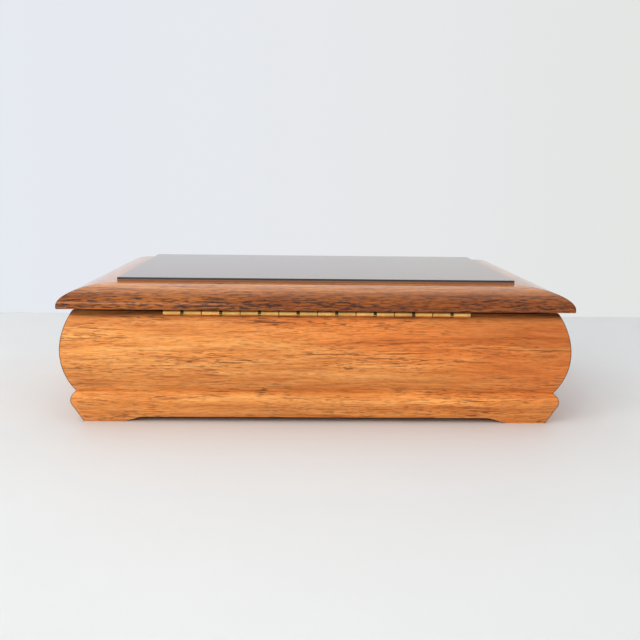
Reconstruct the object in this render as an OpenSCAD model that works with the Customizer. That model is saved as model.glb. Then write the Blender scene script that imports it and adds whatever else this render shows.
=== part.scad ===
// Cylinder music box: a bombe hardwood case on bracket feet, a lid with a raised panel on a
// piano hinge, lined compartments, and a 36-note pinned-cylinder movement under glass.
// Millimetres. +Z is up, the front faces -Y, and the origin is under the middle of the case.

/* [Lid] */
// Width of the lid
lid_w = 340; // [300:1:420]
// Depth of the lid, front to back
lid_d = 230; // [205:1:300]
// Thickness of the lid rails
lid_t = 14.3; // [12:0.1:20]
// Height of the square edge under the lid's rounded moulding
lid_edge_h = 2; // [1:0.1:4]
// Width of the lid's rounded moulding
ovolo_r = 30; // [22:0.5:32]
// Width of a lid rail
rail_w = 45; // [40:1:55]
// Inset of the raised panel from the lid's edge
panel_inset = 32.9; // [28:0.1:36]
// Thickness of the raised panel
panel_t = 6; // [5:0.1:8]
// Height that the panel stands above the rails
panel_rise = 2.8; // [1:0.1:4]
// Thickness of the lining under the lid
lining_t = 1.8; // [1:0.1:1.9]

/* [Case] */
// Height of the case from the feet to its rim
case_h = 77; // [72:1:100]
// Gap between the rim and the lid's rails
lid_gap = 2; // [2:0.1:3]
// Inset of the bulge from the lid's edge
bulge_inset = 0.9; // [0.5:0.1:4]
// Thickness of the side boards at the bulge
board_t = 21.1; // [20.5:0.1:26]
// Radius of the bulge
bulge_r = 52; // [46:1:70]
// Height of the widest part of the bulge
bulge_z = 50; // [46:0.5:56]
// Radius of the base bead
bead_r = 6.6; // [5:0.1:7]
// Inset of the base bead from the lid's edge
bead_inset = 5.5; // [4:0.1:8]
// Height of the middle of the base bead
bead_z = 16.3; // [14:0.1:18]
// Inset of the feet from the lid's edge
toe_inset = 12.2; // [11:0.1:14]
// Length of a foot along the board
foot_len = 24.5; // [20:0.1:40]
// Height of the arch between the feet
arch_h = 4; // [1.5:0.05:6]
// Length of the curved step from a foot to the arch
ogee_len = 17.5; // [8:0.1:20]

/* [Bottom and compartments] */
// Height of the space under the bottom board
recess_h = 17; // [16:0.5:22]
// Thickness of the bottom board
bottom_t = 4; // [3:0.5:6]
// Width of the movement's compartment
bay_w = 132; // [130:1:150]
// Depth of the movement's compartment
bay_d = 86; // [86:1:100]
// Thickness of the dividers
divider_t = 4; // [3:0.5:6]
// Height of the glass's underside above the bottom board
glass_lift = 43; // [42:0.5:45]
// Thickness of the glass
glass_t = 3; // [2:0.5:4]
// Thickness of the velvet-covered cards on the compartment walls
card_t = 1.6; // [1:0.1:3]
// Thickness of the floor pads
pad_t = 3; // [2:0.5:6]

/* [Hinge] */
// Number of knuckles in the piano hinge
knuckles = 16; // [8:2:20]
// Length of one knuckle
knuckle_pitch = 12.7; // [10:0.1:14]
// Outer radius of a knuckle
knuckle_r = 2.1; // [1.8:0.05:2.15]
// Radius of the hinge pin
pin_r = 1.15; // [0.8:0.05:1.2]
// Thickness of a hinge leaf
leaf_t = 1; // [0.7:0.05:1.1]
// Width of a hinge leaf, from the pin
leaf_w = 12; // [9:0.5:13]
// Inset of the hinge pin from the lid's edge
hinge_inset = 6; // [5.5:0.1:7]
// Length of a hinge screw in the wood
hinge_screw_len = 9; // [6:0.5:10]

/* [Movement] */
// Radius of the pinned cylinder
drum_r = 9.5; // [8:0.1:9.6]
// Length of the pinned cylinder
drum_len = 46; // [40:0.5:46]
// Number of comb teeth
notes = 36; // [24:2:36]
// Spacing of the comb teeth
note_pitch = 1.2; // [1:0.05:1.22]
// Height of the cylinder's axis above the bedplate
axis_h = 13; // [12.5:0.1:14]
// Thickness of the bedplate
bedplate_t = 3; // [2:0.5:3]
// Radius of the spring barrel
barrel_r = 19; // [18.2:0.1:20]
// Length of the winding key's wings
key_span = 28; // [20:1:36]
// Tip radius of the fan
fan_r = 8; // [6:0.1:8]

/* [Hidden] */
$fn = 64;

eps = 0.01;          // overreach of a cut past the face that it goes through
run = 0.06;          // radial clearance of a shaft in its bearing
slip = 0.1;          // radial clearance of a screw in its hole
snug = 0.02;         // radial clearance of a wheel fixed on its arbor
seat = 0.3;          // gap between a loose piece and what it rests on

// case levels and inner faces
wall_inset = bulge_inset + board_t;
inner_w = lid_w - 2 * wall_inset;
inner_d = lid_d - 2 * wall_inset;
lid_z = case_h + lid_gap;
lid_top = lid_z + lid_t;
floor_z = recess_h + bottom_t;

// movement's bay, in the left rear corner of the case
bay_x0 = -inner_w / 2;
bay_x1 = bay_x0 + bay_w;
bay_y1 = inner_d / 2;
bay_y0 = bay_y1 - bay_d;
strip_w = 5;         // width of the ledges and beads round the glass
stop_strip_w = 9;    // width of the strip that guides the stop rod
glass_z = floor_z + glass_lift;
ledge_h = 5;
bead_h = 4;
divider_top = glass_z + glass_t + bead_h;
divider_y = bay_y0 - divider_t;
divider_x = bay_x1 + divider_t;

// hinge
hinge_len = knuckles * knuckle_pitch;
hinge_y = lid_d / 2 - hinge_inset;
barrel_room = 4.4;   // height between the two leaves' seats
leaf_floor = lid_z - barrel_room;
hinge_z = lid_z - barrel_room / 2;
wide_gap = 2.2;      // gap after each pair of knuckles
fine_gap = 0.6;      // gap inside each pair
leaf_screws = 5;
leaf_screw_r = 1.2;
leaf_head_r = 2.2;
lining_lap = wall_inset - hinge_inset - leaf_w - 0.5;

// movement's frame: origin on the bedplate's top face, under the middle of the cylinder
spacer_h = 3;
plate_z = floor_z + spacer_h + bedplate_t;
move_y = bay_y0 + 48;
plate_x1 = 46;
plate_y0 = -41;
corner_in = 6;       // inset of the bedplate's own screws from its edges
movement_screw_r = 1.6;
bush_r = 4;

// gears: crown and pinion at the barrel, spur pair and worm pair at the governor
crown_teeth = 56;
crown_pinion_teeth = 10;
crown_m = 0.6;
fine_m = 0.4;
drum_gear_teeth = 48;
transfer_teeth = 8;
worm_wheel_teeth = 36;
crown_r = crown_teeth * crown_m / 2;
crown_pinion_r = crown_pinion_teeth * crown_m / 2;
drum_gear_r = drum_gear_teeth * fine_m / 2;
transfer_r = transfer_teeth * fine_m / 2;
worm_wheel_r = worm_wheel_teeth * fine_m / 2;
worm_r = 1.6;
worm_throw = 0.35;   // height of the thread either side of the worm's pitch radius
worm_lead = PI * fine_m;
worm_len = 6.6;

// places along the cylinder's axis
shaft_r = 1.5;
cap_t = 1.5;
drum_wall = 0.7;
left_bracket_x = -28;
right_bracket_x = 28.5;
bracket_t = 3;
crown_face_w = 3.2;
barrel_gap = 1.3;    // from the barrel's side to the bearing plate beside it
crown_mid_x = left_bracket_x - barrel_gap - (barrel_r - crown_r);
barrel_x = crown_mid_x - crown_r;
plate_x0 = barrel_x - barrel_r - 2.7;
move_x = (bay_x0 + bay_x1 - plate_x0 - plate_x1) / 2;
drum_gear_x = 24.6;
gear_t = 2.4;
cheek_t = 2.2;
left_cheek_x = 28.8;
right_cheek_x = 37.6;
worm_x = 34.5;

// transfer arbor and worm arbor, seen along the cylinder's axis
transfer_y = 10;
transfer_z = axis_h + sqrt(pow(drum_gear_r + transfer_r, 2) - pow(transfer_y, 2));
transfer_angle = atan2(transfer_z - axis_h, transfer_y);
transfer_arbor_r = 1;
worm_y = transfer_y + worm_wheel_r + worm_r;
worm_arbor_r = 0.9;
pivot_r = 0.6;
frame_t = 2.4;       // thickness of feet and frames on the bedplate
fan_z = transfer_z + worm_wheel_r + 0.7;
fan_h = 3.7;
brake_r = 6.2;
brake_t = 0.8;
brake_z = fan_z + fan_h;
top_arm_z = brake_z + brake_t + 3;
top_arm_t = 2;

// barrel
barrel_z = 0.5;
barrel_wall = 1.4;
barrel_floor = 1.2;
crown_root_z = axis_h - crown_pinion_r - 0.75;
crown_tip_z = axis_h - crown_pinion_r + 0.4;
cover_t = 1.45;
cover_z = crown_root_z - cover_t;
hub_r = 4.8;
arbor_r = 2.5;
bridge_z = crown_tip_z + 0.9;
bridge_t = 2;
bridge_pivot_r = 1.8;
bridge_w = 18;
pillar_r = 3.4;
pillar_gap = 1.1;    // between a pillar and the barrel
bridge_reach = barrel_r + pillar_gap + pillar_r; // distance of a pillar from the barrel's axis
plate_y1 = bridge_reach + pillar_r + 4.1;
// leg of a corner block, clear of the bedplate's screws
block = move_x + plate_x0 + corner_in - bay_x0 + bay_y1 - move_y - plate_y1 + corner_in - 5;
ratchet_z = bridge_z + bridge_t + seat;
ratchet_t = 1.6;
ratchet_r = 8;
ratchet_depth = 0.9;
ratchet_teeth = 20;
click_x = -2.5;      // the click's pivot, from the barrel's axis
click_y = 13.2;
key_z = 8;           // level of the winding arbor's lower end

// comb
tooth_gap = 0.3;
comb_tip_y = -(drum_r + 0.85);
comb_top = axis_h + 0.4;
comb_t = 1.2;
heel_t = 2.4;
bass_len = 18;
treble_len = 9;
heel_y = comb_tip_y - bass_len - 0.6;
comb_back = heel_y - 9.2;
comb_half = notes * note_pitch / 2 + 2;
comb_screw_y = (heel_y + comb_back) / 2;
comb_screw_xs = [-15, 0, 15];
weighted = 12;       // teeth with a lead weight

// screws on the bedplate
screw_r = 1.1;
screw_head_r = 2;
screw_head_h = 1.1;
plate_screw_places = [[-28.2, 13.2, frame_t], [-28.2, -13.2, frame_t], [35.2, -6, frame_t],
    [35.2, 0, frame_t], [42.9, 9.5, frame_t], [worm_x, worm_y + 5.4, frame_t],
    [42.9, worm_y, 0.5]];

// stop rod
rod_r = 1;
rod_x = bay_x1 - move_x - 2.4;
stop_arm_w = 3;
stop_pad_x = worm_x + brake_r - 1.3;
stop_pad_t = 0.8;
stop_arm_z = brake_z + brake_t + 0.2 + stop_pad_t;
stop_arm_t = 1;
rod_foot = 1.8;
rod_top = lid_z - lining_t - seat - plate_z;

// ---------- shared shapes ----------

// outline turned to run along X: across the drawing is Y, up the drawing is Z
module run_x(len) rotate([90, 0, 90]) linear_extrude(len, center = true) children();

// cylinder along X from x0 to x1
module rod_along_x(r, x0, x1) translate([x0, 0, 0]) rotate([0, 90, 0]) cylinder(r = r, h = x1 - x0);

// keeps what lies between the mitres of a frame side whose outer edge is len long
module mitred(len, depth, h) intersection() {
    children();
    linear_extrude(h) polygon([[-len / 2, 0], [len / 2, 0], [len / 2 - depth, -depth],
        [-len / 2 + depth, -depth]]);
}

// puts a side made at the origin, outer edge along Y = 0, on one side of the case
module on_rear() translate([0, lid_d / 2, 0]) children();
module on_front() rotate([0, 0, 180]) translate([0, lid_d / 2, 0]) children();
module on_left() rotate([0, 0, 90]) translate([0, lid_w / 2, 0]) children();
module on_right() rotate([0, 0, -90]) translate([0, lid_w / 2, 0]) children();

// four butted strips round the rectangle from [x0, y0] to [x1, y1]; the one at x1 is w1 wide
module four_strips(x0, y0, x1, y1, w, w1, h) {
    translate([x0, y0, 0]) cube([x1 - x0, w, h]);
    translate([x0, y1 - w, 0]) cube([x1 - x0, w, h]);
    translate([x0, y0, 0]) cube([w, y1 - y0, h]);
    translate([x1 - w1, y0, 0]) cube([w1, y1 - y0, h]);
}

// slotted screw, its head standing on z = 0 and its shank below
module cheese_screw(head_r, head_h, shank_r, shank_len) difference() {
    union() {
        cylinder(r = head_r, h = head_h);
        translate([0, 0, -shank_len]) cylinder(r = shank_r, h = shank_len + eps);
    }
    translate([-head_r - 1, -0.3, head_h * 0.5]) cube([2 * head_r + 2, 0.6, head_h]);
}

function polar(r, a) = [r * cos(a), r * sin(a)];
function involute(a) = tan(a) * 180 / PI - a;
function flank(r, base, pitch_r, half) =
    half + involute(acos(base / pitch_r)) - (r > base ? involute(acos(base / r)) : 0);

// outline of an involute gear with a tooth on +X; play is taken off each tooth at the pitch circle
module gear_outline(teeth, m, tip, root, play) {
    pitch_r = teeth * m / 2;
    base = pitch_r * cos(20);
    half = 90 / teeth - play / 2 / pitch_r * 180 / PI;
    low = max(base, pitch_r - root);
    high = pitch_r + tip;
    steps = 3;
    foot_a = flank(low, base, pitch_r, half);
    polygon([for (i = [0:teeth - 1]) let (c = i * 360 / teeth) each concat(
        [polar(pitch_r - root - eps, c - foot_a)],
        [for (k = [0:steps]) let (r = low + (high - low) * k / steps)
            polar(r, c - flank(r, base, pitch_r, half))],
        [for (k = [steps:-1:0]) let (r = low + (high - low) * k / steps)
            polar(r, c + flank(r, base, pitch_r, half))],
        [polar(pitch_r - root - eps, c + foot_a)])]);
}

// puts a piece drawn in the movement's frame in the case, or on the barrel's axis in that frame
module in_movement() translate([move_x, move_y, plate_z]) children();
module at_barrel() in_movement() translate([barrel_x, 0, 0]) children();

// ---------- case ----------

// section of a side board: across is minus the inset from the lid's edge, up is Z
module board_section() intersection() {
    union() {
        intersection() {
            translate([-bulge_inset - bulge_r, bulge_z]) circle(bulge_r, $fn = 180);
            translate([-wall_inset, bead_z]) square([wall_inset, case_h - bead_z]);
        }
        translate([-bead_inset - bead_r, bead_z]) circle(bead_r);
        polygon([[-wall_inset, 0], [-toe_inset, 0], [-bead_inset - bead_r * 0.092, bead_z * 0.83],
            [-bead_inset - bead_r, bead_z], [-wall_inset, bead_z]]);
    }
    translate([-wall_inset, 0]) square([wall_inset, case_h]);
}

// opening under a board whose outer edge is len long, between its two feet
module foot_arch(len) {
    half = len / 2 - toe_inset - foot_len;
    steps = 8;
    rise = [for (k = [0:steps]) [half - ogee_len * k / steps, arch_h * (1 - cos(180 * k / steps)) / 2]];
    fall = [for (k = [steps:-1:0]) [-rise[k][0], rise[k][1]]];
    rotate([90, 0, 0]) translate([0, 0, -1]) linear_extrude(wall_inset + 2)
        polygon(concat([[half, -1]], rise, fall, [[-half, -1]]));
}

module side_board(len) color("peru") mitred(len, wall_inset, case_h) difference() {
    run_x(len) board_section();
    foot_arch(len);
}

module front_board() on_front() side_board(lid_w);
module left_board() on_left() side_board(lid_d);
module right_board() on_right() side_board(lid_d);

module hinge_screw_places() for (i = [0:leaf_screws - 1])
    translate([(i - (leaf_screws - 1) / 2) * hinge_len / leaf_screws, hinge_y - leaf_w * 0.62, 0])
        children();

// rear board, with the recess for the hinge's lower leaf and its screw holes
module rear_board() color("peru") difference() {
    on_rear() side_board(lid_w);
    translate([-hinge_len / 2 - slip, hinge_y - leaf_w - slip, leaf_floor])
        cube([hinge_len + 2 * slip, leaf_w + hinge_inset + 1, case_h]);
    hinge_screw_places() translate([0, 0, leaf_floor - hinge_screw_len + leaf_t - seat])
        cylinder(r = leaf_screw_r + slip, h = hinge_screw_len + 1);
}

// places of the screws that hold the bedplate through the bottom board
module movement_screw_places() for (x = [plate_x0 + corner_in, plate_x1 - corner_in])
    for (y = [plate_y0 + corner_in, plate_y1 - corner_in])
        translate([move_x + x, move_y + y, 0]) children();

module bottom_board() color("burlywood") difference() {
    translate([-inner_w / 2, -inner_d / 2, recess_h]) cube([inner_w, inner_d, bottom_t]);
    translate([0, 0, recess_h - 1]) {
        movement_screw_places() cylinder(r = movement_screw_r + slip, h = bottom_t + 2);
        translate([move_x + barrel_x, move_y, 0]) cylinder(r = bush_r + slip, h = bottom_t + 2);
    }
}

// triangular blocks glued under the bottom board in the four corners
module corner_blocks() color("burlywood")
    for (sx = [-1, 1]) for (sy = [-1, 1]) translate([sx * inner_w / 2, sy * inner_d / 2, arch_h + 1])
        linear_extrude(recess_h - arch_h - 1) polygon([[0, 0], [-sx * block, 0], [0, -sy * block]]);

module long_divider() color("sienna")
    translate([-inner_w / 2, divider_y, floor_z]) cube([inner_w, divider_t, divider_top - floor_z]);

module short_divider() color("sienna")
    translate([bay_x1, bay_y0, floor_z]) cube([divider_t, bay_d, divider_top - floor_z]);

// hole for the stop rod through the strips at the glass
module stop_rod_hole() in_movement() translate([rod_x, worm_y, 10])
    cylinder(r = rod_r + run, h = 60);

// strips under the glass; the wide one stops the glass, guides the rod and lets its arm rise
module glass_ledges() color("sienna") difference() {
    union() {
        translate([0, 0, glass_z - ledge_h])
            four_strips(bay_x0, bay_y0, bay_x1, bay_y1, strip_w, stop_strip_w, ledge_h);
        translate([bay_x1 - strip_w, bay_y0, glass_z - eps]) cube([strip_w, bay_d, glass_t + eps]);
    }
    stop_rod_hole();
    translate([bay_x1 - stop_strip_w - 1, move_y + worm_y - stop_arm_w / 2 - 0.4, glass_z - ledge_h - 1])
        cube([stop_strip_w - 0.4, stop_arm_w + 0.8, ledge_h + 1]);
}

module glass_pane() color("lightcyan", 0.4) translate([bay_x0 + seat, bay_y0 + seat, glass_z])
    cube([bay_w - strip_w - 2 * seat, bay_d - 2 * seat, glass_t]);

module glazing_beads() color("sienna") difference() {
    translate([0, 0, glass_z + glass_t])
        four_strips(bay_x0, bay_y0, bay_x1, bay_y1, strip_w, stop_strip_w, bead_h);
    stop_rod_hole();
}

// velvet-covered cards round a compartment, and the pad on its floor
module bay_lining(x0, y0, x1, y1) color("maroon") translate([0, 0, floor_z]) {
    four_strips(x0, y0, x1, y1, card_t, card_t, divider_top - 1 - floor_z);
    translate([x0, y0, 0]) cube([x1 - x0, y1 - y0, pad_t]);
}
module front_bay_lining() bay_lining(-inner_w / 2, -inner_d / 2, inner_w / 2, divider_y);
module rear_bay_lining() bay_lining(divider_x, bay_y0, inner_w / 2, bay_y1);

// ---------- lid ----------

// section of a lid rail, drawn as a board's section is; the moulding is a quarter ellipse
module rail_section() {
    drop = lid_t - lid_edge_h;
    ease = 0.5;       // small chamfer on the bottom edge
    lap = panel_t - panel_rise;
    steps = 20;
    polygon(concat([[-rail_w, lid_z], [-ease, lid_z], [0, lid_z + ease]],
        [for (k = [0:steps]) [-ovolo_r * (1 - cos(90 * k / steps)),
            lid_z + lid_edge_h + drop * sin(90 * k / steps)]],
        [[-panel_inset + slip, lid_top], [-panel_inset + slip, lid_top - lap], [-rail_w, lid_top - lap]]));
}

module lid_rail(len) color("saddlebrown") mitred(len, rail_w, lid_top) run_x(len) rail_section();
module lid_front_rail() on_front() lid_rail(lid_w);
module lid_left_rail() on_left() lid_rail(lid_d);
module lid_right_rail() on_right() lid_rail(lid_d);
module lid_rear_rail() color("saddlebrown") difference() {
    on_rear() lid_rail(lid_w);
    hinge_screw_places() translate([0, 0, lid_z - 1])
        cylinder(r = leaf_screw_r + slip, h = hinge_screw_len - leaf_t + seat + 1);
}

module lid_core() color("burlywood")
    translate([-lid_w / 2 + rail_w, -lid_d / 2 + rail_w, lid_z])
        cube([lid_w - 2 * rail_w, lid_d - 2 * rail_w, lid_t + panel_rise - panel_t]);

module lid_panel() color("saddlebrown")
    translate([-lid_w / 2 + panel_inset, -lid_d / 2 + panel_inset, lid_top + panel_rise - panel_t])
        cube([lid_w - 2 * panel_inset, lid_d - 2 * panel_inset, panel_t]);

// lining pad, which comes down over the inner edge of the rim when the lid is shut
module lid_lining() color("maroon")
    translate([-inner_w / 2 - lining_lap, -inner_d / 2 - lining_lap, lid_z - lining_t])
        cube([inner_w + 2 * lining_lap, inner_d + 2 * lining_lap, lining_t]);

// ---------- hinge ----------

// start and end of knuckle i along X
function knuckle_x0(i) = -hinge_len / 2 + i * knuckle_pitch + (i % 2 == 0 ? fine_gap : wide_gap) / 2;
function knuckle_x1(i) =
    -hinge_len / 2 + (i + 1) * knuckle_pitch - (i % 2 == 0 ? wide_gap : fine_gap) / 2;

// leaf that carries every second knuckle from the given one, its sheet lying from z up
module leaf(first, z) {
    translate([-hinge_len / 2, hinge_y - leaf_w, z])
        cube([hinge_len, leaf_w - knuckle_r - seat, leaf_t]);
    for (i = [first:2:knuckles - 1]) {
        translate([0, hinge_y, hinge_z]) rod_along_x(knuckle_r, knuckle_x0(i), knuckle_x1(i));
        translate([knuckle_x0(i), hinge_y - knuckle_r - seat - 1, z])
            cube([knuckle_x1(i) - knuckle_x0(i), knuckle_r + seat + 1, leaf_t]);
    }
}

module pin_hole() translate([0, hinge_y, hinge_z])
    rod_along_x(pin_r + run, -hinge_len / 2 - 1, hinge_len / 2 + 1);

module hinge_lower_leaf() color("goldenrod") difference() {
    leaf(0, leaf_floor);
    pin_hole();
    hinge_screw_places() translate([0, 0, leaf_floor])
        cylinder(r1 = leaf_screw_r + slip, r2 = leaf_head_r + slip, h = leaf_t);
}

module hinge_upper_leaf() color("goldenrod") difference() {
    leaf(1, lid_z - leaf_t);
    pin_hole();
    hinge_screw_places() translate([0, 0, lid_z - leaf_t])
        cylinder(r1 = leaf_head_r + slip, r2 = leaf_screw_r + slip, h = leaf_t);
}

module hinge_pin() color("darkgoldenrod")
    translate([0, hinge_y, hinge_z]) rod_along_x(pin_r, -hinge_len / 2, hinge_len / 2);

// countersunk slotted screw, its head flush with z = 0 and its point down
module leaf_screw() difference() {
    union() {
        translate([0, 0, -leaf_t]) cylinder(r1 = leaf_screw_r, r2 = leaf_head_r, h = leaf_t);
        translate([0, 0, -hinge_screw_len])
            cylinder(r = leaf_screw_r, h = hinge_screw_len - leaf_t + eps);
    }
    translate([-leaf_head_r - 1, -0.3, -0.4]) cube([2 * leaf_head_r + 2, 0.6, 1]);
}
module hinge_lower_screws() color("goldenrod")
    hinge_screw_places() translate([0, 0, leaf_floor + leaf_t]) leaf_screw();
module hinge_upper_screws() color("goldenrod")
    hinge_screw_places() translate([0, 0, lid_z - leaf_t]) rotate([180, 0, 0]) leaf_screw();

// ---------- movement: fixed pieces ----------

module bedplate() color("gold") difference() {
    in_movement() translate([plate_x0, plate_y0, -bedplate_t])
        cube([plate_x1 - plate_x0, plate_y1 - plate_y0, bedplate_t]);
    movement_screw_places() translate([0, 0, floor_z])
        cylinder(r = movement_screw_r + slip, h = spacer_h + bedplate_t + 1);
    at_barrel() translate([0, 0, -bedplate_t - 1]) cylinder(r = arbor_r + run, h = bedplate_t + 2);
    in_movement() {
        for (p = plate_screw_places) translate([p[0], p[1], -bedplate_t - 1])
            cylinder(r = screw_r + slip, h = bedplate_t + 2);
        for (x = comb_screw_xs) translate([x, comb_screw_y, -bedplate_t - 1])
            cylinder(r = screw_r + slip, h = bedplate_t + 2);
    }
}

module bedplate_spacers() color("gold") movement_screw_places() translate([0, 0, floor_z])
    difference() {
        cylinder(r = 4, h = spacer_h);
        translate([0, 0, -1]) cylinder(r = movement_screw_r + slip, h = spacer_h + 2);
    }

module movement_screws() color("silver") movement_screw_places()
    translate([0, 0, recess_h]) rotate([180, 0, 0])
        cheese_screw(3.2, 1.4, movement_screw_r, bottom_t + spacer_h + bedplate_t);

module comb_base() color("silver") in_movement() difference() {
    translate([-comb_half, comb_back, 0])
        cube([2 * comb_half, heel_y - comb_back, comb_top - heel_t]);
    for (x = comb_screw_xs) translate([x, comb_screw_y, -1])
        cylinder(r = screw_r + slip, h = comb_top);
}

// left edge of tooth i, and how long it is
function tooth_x(i) = (i - notes / 2) * note_pitch + tooth_gap / 2;
function tooth_len(i) = bass_len + (treble_len - bass_len) * i / (notes - 1);

module comb() color("silver") in_movement() difference() {
    union() {
        translate([0, 0, comb_top - comb_t]) linear_extrude(comb_t) polygon(concat(
            [[-comb_half, comb_back], [-comb_half, comb_tip_y - tooth_len(0)]],
            [for (i = [0:notes - 1]) each [
                [tooth_x(i), comb_tip_y - tooth_len(i)],
                [tooth_x(i), comb_tip_y],
                [tooth_x(i + 1) - tooth_gap, comb_tip_y],
                [tooth_x(i + 1) - tooth_gap, comb_tip_y - tooth_len(i)]]],
            [[comb_half, comb_tip_y - tooth_len(notes - 1)], [comb_half, comb_back]]));
        translate([-comb_half, comb_back, comb_top - heel_t])
            cube([2 * comb_half, heel_y - comb_back, heel_t]);
    }
    for (x = comb_screw_xs) translate([x, comb_screw_y, 0])
        cylinder(r = screw_r + slip, h = comb_top + 1);
}

// lead weights soldered under the tips of the lowest teeth, smaller from one to the next
module comb_weights() color("dimgray") in_movement() for (i = [0:weighted - 1]) {
    deep = 2.2 - 1.2 * i / weighted;
    translate([tooth_x(i), comb_tip_y - 4.6, comb_top - comb_t - deep])
        cube([note_pitch - tooth_gap, 3.2, deep]);
}

module comb_screws() color("silver") in_movement()
    for (x = comb_screw_xs) translate([x, comb_screw_y, comb_top])
        cheese_screw(2.6, 1.6, screw_r, comb_top + bedplate_t);

// upright with a round top on the cylinder's axis; the foot's edges lie at y0 and y1
module bearing_plate(y0, y1) {
    top_r = 5;
    run_x(bracket_t) union() {
        translate([0, axis_h]) circle(top_r);
        polygon([[y0, 0], [y1, 0], [top_r - 0.1, axis_h], [0.1 - top_r, axis_h]]);
    }
}

module cylinder_brackets() color("gold") in_movement() difference() {
    union() {
        translate([left_bracket_x + bracket_t / 2, 0, 0]) bearing_plate(-8, 8);
        for (s = [-1, 1]) translate([left_bracket_x - 3, s * 13 - 4, 0])
            cube([3 + bracket_t, 8, frame_t]);
        translate([left_bracket_x, -17, 0]) cube([bracket_t, 34, frame_t]);
        translate([right_bracket_x + bracket_t / 2, 0, 0]) bearing_plate(-8, 3.2);
        translate([right_bracket_x, -8.6, 0]) cube([9.6, 11.6, frame_t]);
    }
    translate([0, 0, axis_h]) rod_along_x(shaft_r + run, left_bracket_x - 1, right_bracket_x + 4);
    for (p = plate_screw_places) translate([p[0], p[1], -1]) cylinder(r = screw_r + slip, h = 5);
}

module barrel_bridge() color("gold") at_barrel() difference() {
    translate([0, 0, bridge_z]) linear_extrude(bridge_t) union() {
        square([bridge_w, 2 * bridge_reach - 7], center = true);
        for (s = [-1, 1]) translate([0, s * bridge_reach]) circle(4.6);
        for (a = [0, 180]) rotate(a) polygon([[-bridge_w / 2, bridge_reach - 4],
            [bridge_w / 2, bridge_reach - 4], [4.2, bridge_reach + 1.8], [-4.2, bridge_reach + 1.8]]);
    }
    translate([0, 0, bridge_z - 1]) {
        cylinder(r = bridge_pivot_r + run, h = bridge_t + 2);
        for (s = [-1, 1]) translate([0, s * bridge_reach, 0])
            cylinder(r = screw_r + slip, h = bridge_t + 2);
        translate([click_x, click_y, 0]) cylinder(r = screw_r + slip, h = bridge_t + 2);
        translate([click_x + 8.6, click_y + 2.6, 0]) cylinder(r = screw_r + slip, h = bridge_t + 2);
    }
}

module bridge_pillars() color("gold") at_barrel() for (s = [-1, 1])
    translate([0, s * bridge_reach, 0]) difference() {
        cylinder(r = pillar_r, h = bridge_z);
        translate([0, 0, bridge_z - 7]) cylinder(r = screw_r + slip, h = 8);
    }

// screws of the bridge, of the click and of its spring
module bridge_screws() color("silver") at_barrel() {
    for (s = [-1, 1]) translate([0, s * bridge_reach, bridge_z + bridge_t])
        cheese_screw(screw_head_r, screw_head_h, screw_r, bridge_t + 6);
    translate([click_x, click_y, ratchet_z + ratchet_t + slip])
        cheese_screw(screw_head_r, screw_head_h, screw_r, bridge_t + seat + ratchet_t + slip);
    translate([click_x + 8.6, click_y + 2.6, ratchet_z + ratchet_t])
        cheese_screw(screw_head_r, screw_head_h, screw_r, bridge_t + seat + ratchet_t);
}

// spring block and blade that keeps the click towards the ratchet wheel
module click_spring() color("silver") at_barrel() translate([0, 0, bridge_z + bridge_t])
    difference() {
        linear_extrude(ratchet_t + seat) union() {
            translate([click_x + 8.6, click_y + 2.6]) circle(2.2);
            polygon([[click_x + 3.75, click_y + 0.45], [click_x + 3.95, click_y + 0.1],
                [click_x + 8.2, click_y + 0.8], [click_x + 7.4, click_y + 1.4]]);
        }
        translate([click_x + 8.6, click_y + 2.6, -1]) cylinder(r = screw_r + slip, h = 5);
    }

// governor frame: foot, two cheeks for the transfer arbor, and a post with the arm over the fan
module governor_frame() color("gold") in_movement() difference() {
    union() {
        translate([left_cheek_x, 4, 0]) cube([right_cheek_x + cheek_t - left_cheek_x, 26.2, frame_t]);
        translate([right_cheek_x, 5.5, 0]) cube([8, 8, frame_t]);
        for (x = [left_cheek_x, right_cheek_x]) translate([x + cheek_t / 2, 0, 0])
            run_x(cheek_t) union() {
                translate([transfer_y, transfer_z]) circle(3.4);
                polygon([[5.5, 0], [14, 0], [transfer_y + 3.3, transfer_z],
                    [transfer_y - 3.3, transfer_z]]);
            }
        translate([worm_x - 3, worm_y + fan_r + 0.8, 0])
            cube([6, 2.6, top_arm_z + top_arm_t]);
        translate([worm_x - 3, worm_y, top_arm_z]) cube([6, fan_r + 2, top_arm_t]);
        translate([worm_x, worm_y, top_arm_z]) cylinder(r = 3, h = top_arm_t);
    }
    translate([0, transfer_y, transfer_z])
        rod_along_x(transfer_arbor_r + run, left_cheek_x - 1, right_cheek_x + cheek_t + 1);
    translate([worm_x, worm_y, 0.9]) cylinder(r = pivot_r + run, h = 60);
    for (p = plate_screw_places) translate([p[0], p[1], -1]) cylinder(r = screw_r + slip, h = 5);
}

module plate_screws() color("silver") in_movement() for (p = plate_screw_places)
    translate(p) cheese_screw(screw_head_r, screw_head_h, screw_r, p[2] + bedplate_t);

// bush with a flange under the bottom board, round the winding arbor
module key_bush() color("gold") translate([move_x + barrel_x, move_y, recess_h - 1]) difference() {
    union() {
        cylinder(r = 8, h = 1);
        cylinder(r = bush_r, h = bottom_t + 1);
    }
    translate([0, 0, -1]) cylinder(r = arbor_r + run, h = bottom_t + 3);
}

// flat spring under the stop rod
module stop_spring() color("silver") in_movement() difference() {
    translate([0, worm_y + 2.5, 0]) rotate([90, 0, 0]) linear_extrude(5)
        polygon([[40.2, 0], [46.5, 0], [rod_x + 1.8, 1], [rod_x + 1.8, 1.5], [46.5, 0.5], [40.2, 0.5]]);
    for (p = plate_screw_places) translate([p[0], p[1], -1]) cylinder(r = screw_r + slip, h = 5);
}

// ---------- movement: turning pieces ----------

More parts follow.
